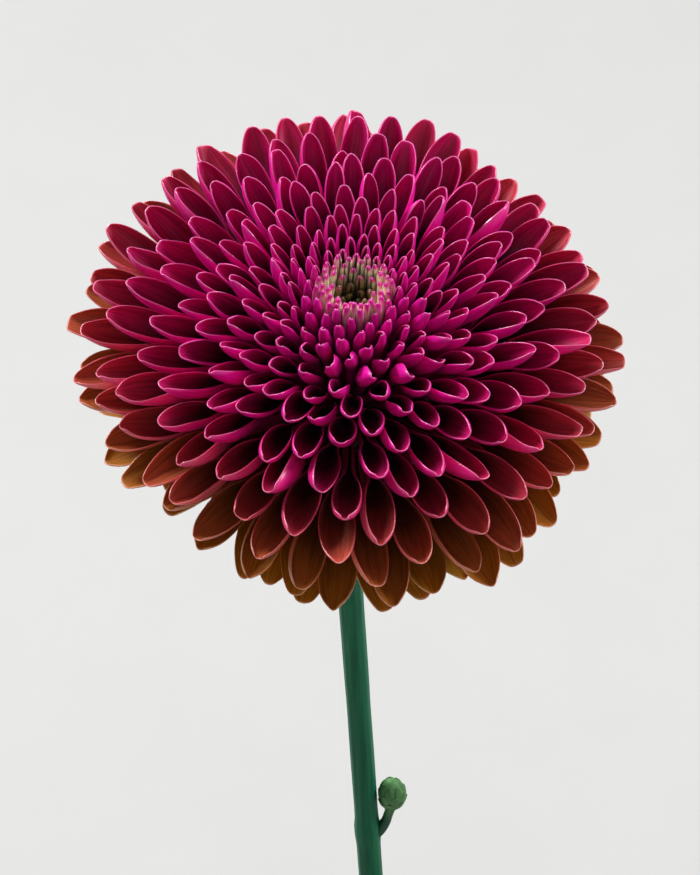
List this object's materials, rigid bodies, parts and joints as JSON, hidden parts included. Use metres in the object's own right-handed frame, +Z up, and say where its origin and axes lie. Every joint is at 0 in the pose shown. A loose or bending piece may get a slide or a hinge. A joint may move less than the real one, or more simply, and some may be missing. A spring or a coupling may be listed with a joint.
{
  "type": "chrysanthemum in vase",
  "caption": "Cut chrysanthemum with a domed head of cupped florets on a bare stem with a side bud, standing in a plain narrow-necked bottle vase.",
  "frame": {"origin": "centre of the vase's flat base, on the surface that it stands on", "axes": "+Z up along the vase's axis; the flower head nods towards -Y and stands to the -X side; +X towards the side bud"},
  "size_m": [0.089, 0.0912, 0.3138],
  "materials": {
    "vase_glaze": "dark slate satin-glazed stoneware with an unglazed foot",
    "stem_green": "smooth, softly ribbed green plant stem",
    "bud_green": "closed green bud on a dark stalk",
    "bract_green": "dull green bracts with thin pale edges",
    "centre_floret": "cream-green young florets with pink tips",
    "magenta_floret": "satin magenta florets, dark crimson inside, with pale pink rims",
    "bronze_floret": "older rust-bronze florets with amber undersides"
  },
  "bodies": {
    "root": {"vase": "vase_glaze", "stem": "stem_green", "side_bud": "bud_green", "bract_row_1": "bract_green", "bract_row_2": "bract_green", "centre_florets": "centre_floret", "floret_row_02": "magenta_floret", "floret_row_03": "magenta_floret", "floret_row_04": "magenta_floret", "floret_row_05": "magenta_floret", "floret_row_06": "magenta_floret", "floret_row_07": "magenta_floret", "floret_row_08": "magenta_floret", "floret_row_09": "magenta_floret", "floret_row_10": "magenta_floret", "floret_row_11": "magenta_floret", "floret_row_12": "magenta_floret", "floret_row_13": "magenta_floret", "floret_row_14": "bronze_floret", "floret_row_15": "bronze_floret", "floret_row_16": "bronze_floret"}
  },
  "joints": []
}
